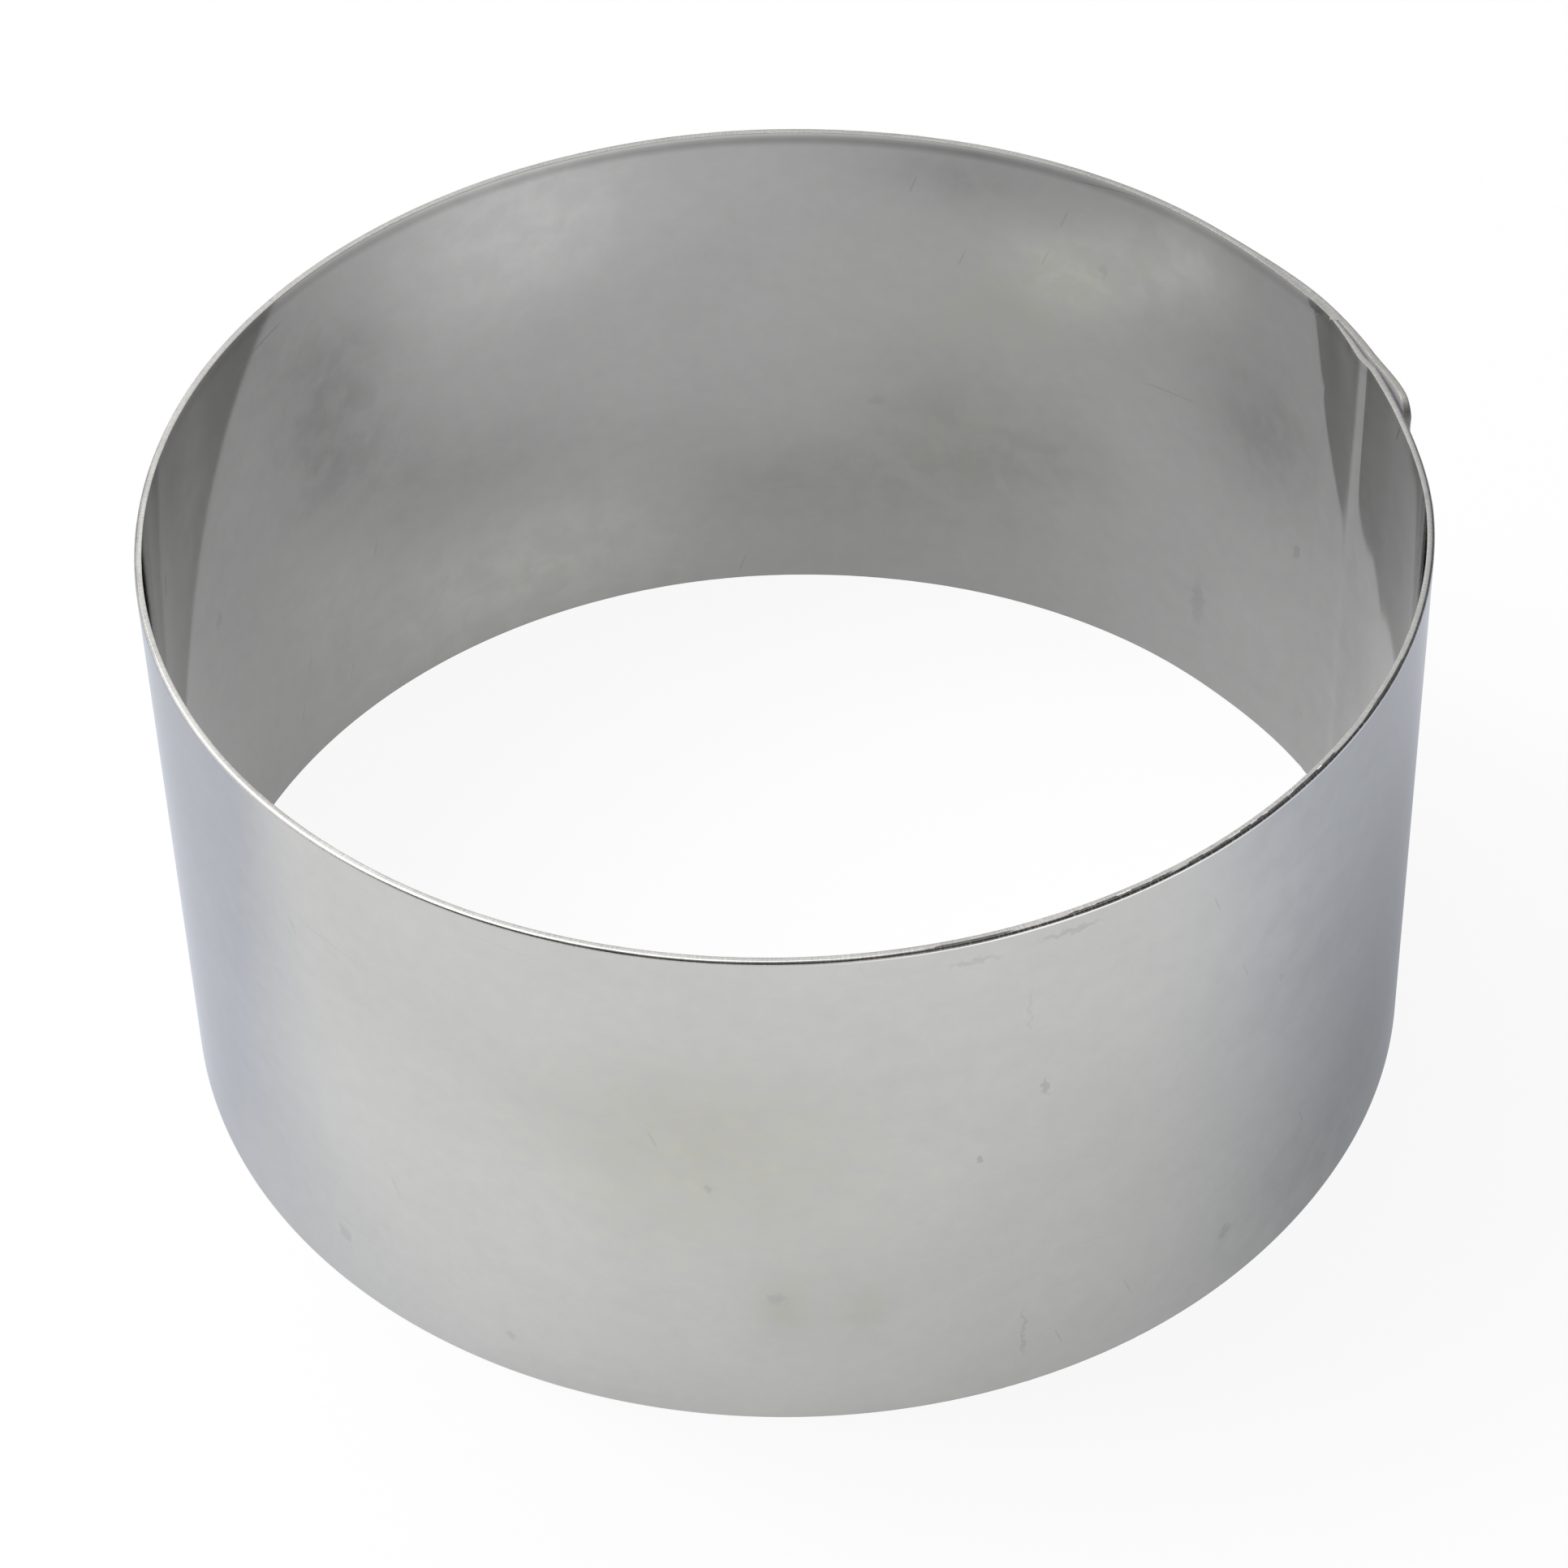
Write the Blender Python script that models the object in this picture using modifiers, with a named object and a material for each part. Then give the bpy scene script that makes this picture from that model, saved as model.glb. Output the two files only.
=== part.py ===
"""A round cake ring: a strip of stainless sheet, rolled into a band and spot-welded where its ends lap.

The origin is at the centre of the lower rim, +Z goes up through the ring, and angles run from +X
towards +Y. The lap is at the ring's right rear: one end lies inside, the other over it on the outside.
"""
import math

import bmesh
import bpy

# Sizes of the ring, in metres
INSIDE_DIAMETER = 0.1008
RING_HEIGHT = 0.050
SHEET_THICKNESS = 0.0006

# The strip's edges
ARRIS_RADIUS = 0.00012
CORNER_RADIUS = 0.0018

# The lap: the angle is where the outer end stops, the lengths run along the strip
OUTER_END_ANGLE = math.radians(11.5)
LAP_LENGTH = 0.0130
LAYER_CLEARANCE = 0.00006
LAP_SHIFT = 0.00007
EASE_LENGTH = 0.0130
EASE_MARGIN = 0.0010

# The outer end springs away from the inner layer beyond the line of welds
FREE_END_LIFT = 0.00036
FREE_END_LENGTH = 0.0055
INNER_LAYER_SINK = 0.00006

# Resistance welds, in a column down the lap
WELD_COUNT = 5
WELD_FROM_OUTER_END = 0.0074
WELD_DIAMETER = 0.0030
WELD_DISH = 0.00008
WELD_CLEARANCE = 0.00010

# How finely the round shapes are divided
STATION_STEP = math.radians(2.0)
CORNER_STEPS = 4
WELD_SIDES = 32
DISH_STEPS = 5

# Values that follow from the sizes
MIDDLE_RADIUS = INSIDE_DIAMETER / 2 + SHEET_THICKNESS / 2
LAP_ANGLE = LAP_LENGTH / MIDDLE_RADIUS
STRIP_ANGLE = 2 * math.pi + LAP_ANGLE
LAYER_OFFSET = (SHEET_THICKNESS + LAYER_CLEARANCE) / 2
EASE_ANGLE = EASE_LENGTH / MIDDLE_RADIUS
EASE_MARGIN_ANGLE = EASE_MARGIN / MIDDLE_RADIUS
WELD_ANGLE = WELD_FROM_OUTER_END / MIDDLE_RADIUS
FREE_END_ANGLE = FREE_END_LENGTH / MIDDLE_RADIUS
WELD_LENGTH = 2 * SHEET_THICKNESS + LAYER_CLEARANCE
WELD_PITCH = RING_HEIGHT / WELD_COUNT


def clear_scene():
    for old in list(bpy.data.objects):
        bpy.data.objects.remove(old, do_unlink=True)


def make_collection(name):
    collection = bpy.data.collections.new(name)
    bpy.context.scene.collection.children.link(collection)
    return collection


def add_object(name, mesh, collection):
    made = bpy.data.objects.new(name, mesh)
    collection.objects.link(made)
    return made


def make_material(name, colour, roughness, metallic):
    material = bpy.data.materials.new(name)
    material.use_nodes = True
    shader = material.node_tree.nodes["Principled BSDF"]
    shader.inputs["Base Color"].default_value = (*colour, 1.0)
    shader.inputs["Roughness"].default_value = roughness
    shader.inputs["Metallic"].default_value = metallic
    return material


def satin_stainless():
    return make_material("satin_stainless", (0.60, 0.60, 0.585), 0.34, 1.0)


def weld_stainless(number):
    return make_material(f"weld_stainless_{number}", (0.50, 0.49, 0.47), 0.46, 1.0)


def ease(share):
    """Goes smoothly from 0 to 1 while share does."""
    share = min(max(share, 0.0), 1.0)
    return share * share * (3 - 2 * share)


def middle_of_strip(turn):
    """The radius of the sheet's middle, where turn is the angle along the strip from its outer end."""
    past_lap = turn - LAP_ANGLE - EASE_MARGIN_ANGLE
    outer_share = 1 - ease(past_lap / EASE_ANGLE)
    outward = (LAYER_OFFSET + LAP_SHIFT) * outer_share
    lift = FREE_END_LIFT * ease((WELD_ANGLE - turn) / FREE_END_ANGLE)

    under = turn - 2 * math.pi
    inner_share = ease((under + EASE_MARGIN_ANGLE + EASE_ANGLE) / EASE_ANGLE)
    inward = (LAYER_OFFSET - LAP_SHIFT) * inner_share
    sink = INNER_LAYER_SINK * inner_share * ease((WELD_ANGLE - under) / FREE_END_ANGLE)
    return MIDDLE_RADIUS + outward + lift - inward - sink


def blank_outline():
    """The flat strip's outline: x is the angle along it, y is its height, and all corners are rounded."""
    round_x = CORNER_RADIUS / MIDDLE_RADIUS
    corners = (
        (round_x, CORNER_RADIUS, 180),
        (STRIP_ANGLE - round_x, CORNER_RADIUS, 270),
        (STRIP_ANGLE - round_x, RING_HEIGHT - CORNER_RADIUS, 0),
        (round_x, RING_HEIGHT - CORNER_RADIUS, 90),
    )
    points = []
    for x, y, start in corners:
        for step in range(CORNER_STEPS + 1):
            around = math.radians(start + 90 * step / CORNER_STEPS)
            points.append((x + round_x * math.cos(around), y + CORNER_RADIUS * math.sin(around)))
    return points


def bending_stations():
    """The angles along the strip where it is bent: twice as close at the lap, and through the round corners."""
    round_x = CORNER_RADIUS / MIDDLE_RADIUS
    corner = []
    for step in range(1, CORNER_STEPS):
        corner.append(round_x * (1 - math.cos(math.radians(90 * step / CORNER_STEPS))))
    corner.append(round_x)
    count = round((STRIP_ANGLE - 2 * round_x) / STATION_STEP)
    eased = LAP_ANGLE + EASE_MARGIN_ANGLE + EASE_ANGLE
    middle = []
    for i in range(1, 2 * count):
        turn = round_x + (STRIP_ANGLE - 2 * round_x) * i / (2 * count)
        if i % 2 == 0 or turn < eased or turn > STRIP_ANGLE - eased:
            middle.append(turn)
    return corner + middle + [STRIP_ANGLE - x for x in reversed(corner)]


def make_rolled_band(collection):
    """Cuts the flat strip with rounded corners, rolls it along its path and gives it the sheet's thickness."""
    form = bmesh.new()
    form.faces.new([form.verts.new((x, y, 0)) for x, y in blank_outline()])
    for x in bending_stations():
        everything = form.verts[:] + form.edges[:] + form.faces[:]
        bmesh.ops.bisect_plane(form, geom=everything, dist=1e-5, plane_co=(x, 0, 0), plane_no=(1, 0, 0))
    for vertex in form.verts:
        turn, height, _ = vertex.co
        radius = middle_of_strip(turn)
        angle = OUTER_END_ANGLE + turn
        vertex.co = (radius * math.cos(angle), radius * math.sin(angle), height)
    bmesh.ops.recalc_face_normals(form, faces=form.faces[:])
    mesh = bpy.data.meshes.new("rolled_band")
    form.to_mesh(mesh)
    form.free()

    band = add_object("rolled_band", mesh, collection)
    thickness = band.modifiers.new("sheet", "SOLIDIFY")
    thickness.thickness = SHEET_THICKNESS
    thickness.offset = 0.0
    thickness.use_even_offset = True
    arris = band.modifiers.new("worn_edges", "BEVEL")
    arris.width = ARRIS_RADIUS
    arris.segments = 2
    arris.limit_method = "ANGLE"
    arris.angle_limit = math.radians(40)
    mesh.shade_smooth()
    mesh.set_sharp_from_angle(angle=math.radians(30))
    mesh.materials.append(satin_stainless())
    return band


def place_on_weld_line(thing, number):
    """Puts a piece on the column of welds, with its own Z pointing out of the ring."""
    angle = OUTER_END_ANGLE + WELD_ANGLE
    height = WELD_PITCH * (number + 0.5)
    thing.rotation_euler = (0, math.pi / 2, angle)
    radius = MIDDLE_RADIUS + LAP_SHIFT
    thing.location = (radius * math.cos(angle), radius * math.sin(angle), height)


def make_weld_hole(number, collection):
    """The round place in both layers that the weld metal fills."""
    form = bmesh.new()
    radius = WELD_DIAMETER / 2 + WELD_CLEARANCE
    bmesh.ops.create_cone(
        form, cap_ends=True, segments=WELD_SIDES, radius1=radius, radius2=radius, depth=4 * WELD_LENGTH
    )
    mesh = bpy.data.meshes.new(f"weld_hole_{number + 1}")
    form.to_mesh(mesh)
    form.free()
    cutter = add_object(mesh.name, mesh, collection)
    cutter.hide_render = True
    cutter.display_type = "WIRE"
    place_on_weld_line(cutter, number)
    return cutter


def make_weld_spot(number, collection):
    """The fused metal: a short turned plug, dished on both faces by the electrodes."""
    radius = WELD_DIAMETER / 2
    half = WELD_LENGTH / 2
    outer_face = []
    for step in range(DISH_STEPS + 1):
        share = step / DISH_STEPS
        outer_face.append((radius * share, 0, half - WELD_DISH * (1 - share * share)))
    inner_face = [(x, 0, -z) for x, _, z in reversed(outer_face)]

    form = bmesh.new()
    points = [form.verts.new(point) for point in outer_face + inner_face]
    for first, second in zip(points, points[1:]):
        form.edges.new((first, second))
    mesh = bpy.data.meshes.new(f"weld_spot_{number + 1}")
    form.to_mesh(mesh)
    form.free()

    spot = add_object(mesh.name, mesh, collection)
    turn = spot.modifiers.new("turned", "SCREW")
    turn.axis = "Z"
    turn.steps = WELD_SIDES
    turn.render_steps = WELD_SIDES
    turn.use_merge_vertices = True
    turn.merge_threshold = 0.00001
    turn.use_smooth_shade = True
    mesh.materials.append(weld_stainless(number + 1))
    place_on_weld_line(spot, number)
    return spot


def build():
    clear_scene()
    parts = make_collection("cake_ring")
    cutters = make_collection("cake_ring_cutters")
    band = make_rolled_band(parts)
    for number in range(WELD_COUNT):
        hole = band.modifiers.new(f"weld_hole_{number + 1}", "BOOLEAN")
        hole.operation = "DIFFERENCE"
        hole.solver = "EXACT"
        hole.object = make_weld_hole(number, cutters)
        make_weld_spot(number, parts)


build()
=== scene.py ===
from collections import namedtuple
import math

import bmesh
import bpy
from mathutils import Matrix, Vector, noise


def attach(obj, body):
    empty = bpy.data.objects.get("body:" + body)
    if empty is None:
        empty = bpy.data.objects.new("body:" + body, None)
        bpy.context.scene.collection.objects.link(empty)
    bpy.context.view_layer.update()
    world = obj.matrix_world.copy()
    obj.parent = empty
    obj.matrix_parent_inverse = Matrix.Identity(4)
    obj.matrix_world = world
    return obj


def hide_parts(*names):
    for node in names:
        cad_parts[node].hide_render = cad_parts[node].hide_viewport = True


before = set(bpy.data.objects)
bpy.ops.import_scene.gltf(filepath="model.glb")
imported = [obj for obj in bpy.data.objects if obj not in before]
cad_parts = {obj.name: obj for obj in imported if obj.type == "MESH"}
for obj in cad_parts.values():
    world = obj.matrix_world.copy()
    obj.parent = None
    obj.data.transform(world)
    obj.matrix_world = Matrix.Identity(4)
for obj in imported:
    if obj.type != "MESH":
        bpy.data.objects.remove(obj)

# The ring's sizes, in metres, as in the solid model
INSIDE_DIAMETER = 0.1008
RING_HEIGHT = 0.050
SHEET_THICKNESS = 0.0006
ARRIS_RADIUS = 0.00012
CORNER_RADIUS = 0.0018
OUTER_END_ANGLE = math.radians(11.5)
LAP_LENGTH = 0.0130
LAYER_CLEARANCE = 0.00006
LAP_SHIFT = 0.00007
EASE_LENGTH = 0.0130
EASE_MARGIN = 0.0010
FREE_END_LIFT = 0.00036
FREE_END_LENGTH = 0.0055
INNER_LAYER_SINK = 0.00006
WELD_COUNT = 5
WELD_FROM_OUTER_END = 0.0074
WELD_DIAMETER = 0.0030
WELD_DISH = 0.00008

MIDDLE_RADIUS = INSIDE_DIAMETER / 2 + SHEET_THICKNESS / 2
OUTER_RADIUS = MIDDLE_RADIUS + SHEET_THICKNESS / 2
ROUND_LENGTH = 2 * math.pi * MIDDLE_RADIUS
STRIP_LENGTH = ROUND_LENGTH + LAP_LENGTH
LAYER_OFFSET = (SHEET_THICKNESS + LAYER_CLEARANCE) / 2
WELD_PITCH = RING_HEIGHT / WELD_COUNT

# How finely the surface is divided, and how far it keeps inside the solids' box
STATION_STEP = 0.0006
WALL_STEPS = 26
ARRIS_STEPS = 4
CORNER_STEPS = 8
DISH_STEPS = 8
TURN_STEPS = 48
NEAR_WELD = 0.003
ARRIS_SUPPORT = 0.00004
BOX_MARGIN = 0.00003

# How far the ring is from a circle: flat spots, each with an angle, a half width in degrees and a share
FLAT_DEPTH = 0.00016
FLAT_SPOTS = ((38, 8, 1.0), (82, 14, 0.8), (322, 16, 0.9))
LOBE_COUNT = 3
LOBE_DEPTH = 0.00004

# The upper rim: rolled over by the shear, torn at the right front and worn round the back
ROLL_ANGLE = 21.0
ROLLED_RADIUS = 0.00026
TORN_RADIUS = 0.00022
WORN_RADIUS = 0.00009
INNER_RIM_RADIUS = 0.00002
SHOULDER_SHARE = 0.3
BURR_SIZE = 0.00003
RIM_WANDER = 0.00004
WANDER_DEPTH = 0.003
WANDER_FADE = 0.0024
TORN_FROM = 266
TORN_TO = 330
TORN_FADE = 26

# The fold down the inside at the welds: its heights, its widths along the strip and its slow drift
FOLD_FAINT = 0.00001
FOLD_TALL = 0.00018
FOLD_AT_RIM = 0.00006
FOLD_BEFORE = 0.0011
FOLD_NARROWING = 0.0005
FOLD_BEYOND = 0.0034
FOLD_DRIFT = 0.0006
FOLD_DRIFT_DEPTH = 0.03
WEAR_AND_SHEEN_WIDTH = 0.0008

# The strip's inner end: dressed down, with weld metal in the step beside it and a hollow at the rim
DRESSED_DEPTH = 0.00021
DRESSED_AT_END = 0.956
DRESSED_LENGTH = LAP_LENGTH - WELD_FROM_OUTER_END + 0.0015
FILL_LENGTH = 0.010
FILL_FROM = -0.0005
FILL_RELIEF = 0.00002
HOLLOW_DEPTH = 0.00012
HOLLOW_RISE = 0.0055
HOLLOW_MIDDLE = LAP_LENGTH + 0.001
HOLLOW_WIDTH = 0.0031
HOLLOW_HEIGHT = 0.010
END_ROW = LAP_LENGTH - 0.00002
END_ROW_CLEARANCE = 0.00012

# The welds' outer faces
DISH_WIDTH = WELD_DIAMETER * 0.55
LIP_HEIGHT = 0.000012
WELD_PROUD = 0.000008

# Material slots of the wall, and the values that each point of its surface holds for them
OUTER_SLOT, INNER_SLOT, EDGE_SLOT, LAP_SLOT = range(4)
SURFACE_VALUES = ("painted_tone", "warmth", "torn", "fold_wear_and_sheen", "painted_rim_line", "burnished", "stained", "broken")

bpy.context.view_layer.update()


# Shape of the strip

def ease(share):
    """Goes smoothly from 0 to 1 while share does."""
    share = min(max(share, 0.0), 1.0)
    return share * share * (3 - 2 * share)


def bump(distance, width):
    """1 at no distance, falling to a third at one width."""
    return math.exp(-(distance / width) ** 2)


def strip_angle(s):
    """Where a place along the strip lies round the ring; s is its distance in metres from the outer end."""
    return OUTER_END_ANGLE + s / MIDDLE_RADIUS


def strip_degrees(s):
    """The same place in degrees, from 0 to 360."""
    return math.degrees(strip_angle(s)) % 360


def under_outer_end(s):
    """How far a place on the inner layer is past the edge of the outer end; negative before the lap."""
    return s - ROUND_LENGTH


def out_of_round(angle):
    """How far the hand-closed ring is from a true circle; the furthest points stay on the circle."""
    degrees = math.degrees(angle) % 360
    flat = FLAT_DEPTH * sum(share * bump(degrees - at, width) for at, width, share in FLAT_SPOTS)
    return -flat - LOBE_DEPTH * (1 - math.cos(LOBE_COUNT * angle)) / 2


def middle_radius(s):
    """The radius of the sheet's middle: out at the lap's outer layer and in at its inner one."""
    outer_share = 1 - ease((s - LAP_LENGTH - EASE_MARGIN) / EASE_LENGTH)
    outward = (LAYER_OFFSET + LAP_SHIFT) * outer_share
    lift = FREE_END_LIFT * ease((WELD_FROM_OUTER_END - s) / FREE_END_LENGTH)
    under = under_outer_end(s)
    inner_share = ease((under + EASE_MARGIN + EASE_LENGTH) / EASE_LENGTH)
    inward = (LAYER_OFFSET - LAP_SHIFT) * inner_share
    sink = INNER_LAYER_SINK * inner_share * ease((WELD_FROM_OUTER_END - under) / FREE_END_LENGTH)
    return MIDDLE_RADIUS - BOX_MARGIN + outward + lift - inward - sink + out_of_round(strip_angle(s))


def middle_point(s):
    radius = middle_radius(s)
    angle = strip_angle(s)
    return Vector((radius * math.cos(angle), radius * math.sin(angle), 0))


def crease(s, height):
    """The fold that the welds leave in the inner layer: steep on one side, tall at the rim, faint below."""
    depth = RING_HEIGHT - height
    line = WELD_FROM_OUTER_END - FOLD_DRIFT / 2 + FOLD_DRIFT * ease(depth / FOLD_DRIFT_DEPTH)
    tall = FOLD_FAINT + FOLD_TALL * bump(depth, 0.015) + FOLD_AT_RIM * bump(depth, 0.004)
    past = under_outer_end(s) - line
    before = FOLD_BEFORE - FOLD_NARROWING * ease(depth / 0.022)
    return tall * bump(past, FOLD_BEYOND if past > 0 else before)


def fold_wear_and_sheen(s, height):
    """1 along the fold and 0 away from it: there the electrodes and many cleanings have dulled the metal, and
    the wall carries a painted highlight, a lighter band along the fold.
    """
    depth = RING_HEIGHT - height
    line = WELD_FROM_OUTER_END - 0.0004 + FOLD_DRIFT * ease(depth / FOLD_DRIFT_DEPTH)
    return bump(under_outer_end(s) - line, WEAR_AND_SHEEN_WIDTH) * (0.45 + 0.55 * bump(depth, 0.024))


def weld_dish(s, height):
    """The shallow dishes that the welding tip leaves on the outside."""
    nearest = (math.floor(height / WELD_PITCH) + 0.5) * WELD_PITCH
    distance = math.hypot(s - WELD_FROM_OUTER_END, height - nearest)
    return WELD_DISH * bump(distance, DISH_WIDTH)


def rim_wander(s, side):
    """How far a sheared edge wanders up and down, in metres, always below the true height."""
    slow = noise.noise(Vector((s * 90, 7.0 * side, 0.0)))
    quick = noise.noise(Vector((s * 900, 3.0 * side, 4.0)))
    return RIM_WANDER * (-1 + 0.5 * slow + 0.3 * quick)


def burr(s, side):
    """How far the sheared edge stands out: it is rougher at the right front and round the back."""
    rough = 0.35 + 0.65 * max(torn_share(s), bump(strip_degrees(s) - 75, 42))
    return rough * BURR_SIZE * noise.noise(Vector((s * 2100, 11.0 * side, 2.0)))


def torn_share(s):
    """1 where the shear tore the rim's outer edge, at the right front, and 0 where it didn't."""
    degrees = strip_degrees(s)
    return ease((degrees - TORN_FROM) / TORN_FADE) * (1 - ease((degrees - TORN_TO) / TORN_FADE))


def rear_share(s):
    """1 round the back and along the free end, where the rim is worn soft, and 0 at the front."""
    round_back = ease((math.sin(strip_angle(s)) + 0.1) / 0.5)
    return max(round_back, 1 - ease((s - 0.004) / 0.010))


def top_edge(s, side):
    """Radius of the upper arris, and the slope in degrees of the edge beside it; the inner arris is sharp."""
    if side < 0:
        return INNER_RIM_RADIUS, 0.0
    torn = torn_share(s)
    rear = rear_share(s)
    uneven = 1 + 0.2 * noise.noise(Vector((s * 160, 5.0, 1.0)))
    radius = ROLLED_RADIUS - (ROLLED_RADIUS - TORN_RADIUS) * torn - (ROLLED_RADIUS - WORN_RADIUS) * rear
    return radius * uneven, ROLL_ANGLE * (1 - torn) * (1 - rear)


def feather(s, height):
    """Change of thickness at the inner end: it is dressed down, and weld metal fills the step beside it."""
    under = under_outer_end(s)
    if under > WELD_FROM_OUTER_END:
        share = (under - WELD_FROM_OUTER_END) / DRESSED_LENGTH
        return -DRESSED_DEPTH * (1 - (1 - share) ** 2) - hollow(under, height)
    past_end = s - LAP_LENGTH
    if past_end < FILL_FROM or past_end > EASE_MARGIN + EASE_LENGTH:
        return 0.0
    step = 2 * LAYER_OFFSET - DRESSED_AT_END * DRESSED_DEPTH
    spread = LAYER_OFFSET + LAP_SHIFT
    fill = spread * (1 - ease((past_end - EASE_MARGIN) / EASE_LENGTH))
    fill += (step - spread) * (1 - min(max(past_end, 0.0) / FILL_LENGTH, 1.0)) ** 2
    under_the_end = past_end < -0.0001
    if under_the_end:
        fill -= FILL_RELIEF
    return max(fill - hollow(s, height), 0.0)


def hollow(from_outer_end, height):
    """A shallow hollow beside the rim, where the inner end was pressed flat; both layers share it."""
    rise = ease((from_outer_end - WELD_FROM_OUTER_END) / HOLLOW_RISE)
    along = bump(from_outer_end - HOLLOW_MIDDLE, HOLLOW_WIDTH)
    return HOLLOW_DEPTH * rise * along * bump(RING_HEIGHT - height, HOLLOW_HEIGHT)


def stations():
    """Places along the strip: close together through the round corners and wherever it bends quickly."""
    near_end = [0.0]
    for step in range(1, ARRIS_STEPS):
        near_end.append(ARRIS_RADIUS * step / ARRIS_STEPS)
    for step in range(2, CORNER_STEPS + 1):
        near_end.append(CORNER_RADIUS * (1 - math.cos(math.radians(90 * step / CORNER_STEPS))))
    near_end = sorted(near_end)
    count = round((STRIP_LENGTH - 2 * CORNER_RADIUS) / STATION_STEP)
    middle = []
    eased = LAP_LENGTH + EASE_MARGIN + EASE_LENGTH
    weld_lines = (WELD_FROM_OUTER_END, ROUND_LENGTH + WELD_FROM_OUTER_END)
    for i in range(1, 2 * count):
        s = CORNER_RADIUS + (STRIP_LENGTH - 2 * CORNER_RADIUS) * i / (2 * count)
        near_weld = min(abs(s - line) for line in weld_lines) < NEAR_WELD
        if i % 2 == 0 or s < eased or s > STRIP_LENGTH - eased or near_weld:
            middle.append(s)
    middle = [s for s in middle if abs(s - LAP_LENGTH) > END_ROW_CLEARANCE] + [END_ROW]
    middle.sort()
    return near_end + middle + [STRIP_LENGTH - s for s in reversed(near_end)]


def rounded_off(radius, from_end):
    """How much a round corner of this radius takes off at a distance from the strip's end."""
    if from_end >= radius:
        return 0.0
    return radius - math.sqrt(max(radius**2 - (radius - from_end) ** 2, 0.0))


def half_section(s, side):
    """Half of the cut through the sheet, from the bottom's middle to the top's: offset, height and kind."""
    from_end = min(s, STRIP_LENGTH - s)
    dressed = s > STRIP_LENGTH / 2
    half = SHEET_THICKNESS / 2
    if not dressed:
        half -= rounded_off(ARRIS_RADIUS, from_end)
    low = rounded_off(CORNER_RADIUS / 3 if dressed else CORNER_RADIUS, from_end)
    high = RING_HEIGHT - low
    arris = min(ARRIS_RADIUS, half * 0.9)
    top_arris, slope = top_edge(s, side)
    top_arris = min(top_arris, half * 0.9)

    points = [(0.0, low, "bottom")]
    for step in range(ARRIS_STEPS + 1):
        angle = math.radians(90 * step / ARRIS_STEPS)
        points.append((half - arris + arris * math.sin(angle), low + arris * (1 - math.cos(angle)), "bottom"))
    turn = math.radians(90 - slope)
    shoulder = SHOULDER_SHARE * half
    rise = (half - top_arris * (1 - math.cos(turn)) - shoulder) * math.tan(math.radians(slope))
    wall_top = high - rise - top_arris * math.sin(turn)
    points.append((half, low + arris + ARRIS_SUPPORT, "wall"))
    for step in range(1, WALL_STEPS):
        points.append((half, low + arris + (wall_top - low - arris) * step / WALL_STEPS, "wall"))
    points.append((half, wall_top - ARRIS_SUPPORT, "wall"))
    for step in range(ARRIS_STEPS + 1):
        angle = turn * step / ARRIS_STEPS
        inward = top_arris * (1 - math.cos(angle))
        points.append((half - inward, wall_top + top_arris * math.sin(angle), "top"))
    points.append((shoulder, high, "top"))
    points.append((0.0, high, "top"))
    return points


def place(s, offset, height, kind, side):
    """Where a point of the section goes on the rolled strip; side is 1 outside and -1 inside."""
    step = 0.0001
    along = middle_point(s + step) - middle_point(s - step)
    out = Vector((along.y, -along.x, 0)).normalized()
    shift = -crease(s, height)
    if side > 0:
        shift -= weld_dish(s, height)
    half = SHEET_THICKNESS / 2
    outward = min(offset / half, 1.0)
    if kind != "wall":
        shift += burr(s, side) * outward * (1 - ease((outward - 0.8) / 0.2))
    from_outside = (half - side * offset) * (1 + feather(s, height) / SHEET_THICKNESS)
    point = middle_point(s) + out * (half - from_outside + shift)
    wander = rim_wander(s, side) * outward + rim_wander(s, 0) * (1 - outward)
    point.z = height + wander * ease((height - RING_HEIGHT + WANDER_DEPTH) / WANDER_FADE)
    return point


# Tone of the walls: broad soft patches of painted reflection and painted shade for what the metal mirrors,
# some with a warm stain on the rolled finish

def inner_painted_light_and_stains(degrees, depth):
    """Angle, depth in mm, half width in degrees, half height in mm, change of painted tone (painted
    reflection and shade), change of warmth.
    """
    patches = (
        (140, 14, 9, 9, -0.28, 0.0),
        (131, 27, 8, 6, -0.12, 0.0),
        (117, 5, 13, 8, 0.26, 0.0),
        (72, 3, 8, 3, -0.17, 0.0),
        (60, 11, 7, 4.5, 0.28, 0.7),
        (51, 7, 7, 4.5, 0.26, 0.4),
        (45, 4, 5, 4, 0.27, 0.1),
        (68, 17, 11, 5, 0.03, 0.6),
        (35, 17, 8, 7, -0.24, 0.0),
        (89, 39, 13, 6, -0.14, 0.1),
        (71, 33, 11, 10, -0.16, 0.6),
        (122, 44, 22, 8, 0.26, 0.5),
        (147, 3, 6, 5, -0.12, 0.0),
        (142, 34, 9, 6, 0.10, 0.2),
        (168, 8, 13, 18, -0.16, 0.0),
        (12, 8, 11, 16, -0.10, 0.0),
        (17, 36, 10, 22, -0.14, 0.0),
        (122, 30, 12, 5, -0.06, 0.0),
        (112, 44, 12, 7, 0.10, 0.0),
        (111, 6, 8, 8, 0.06, 0.0),
        (140, 22, 6, 5, -0.09, 0.0),
        (60, 31, 7, 5, -0.10, 0.0),
    )
    return blend_patches(patches, degrees, depth)


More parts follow.
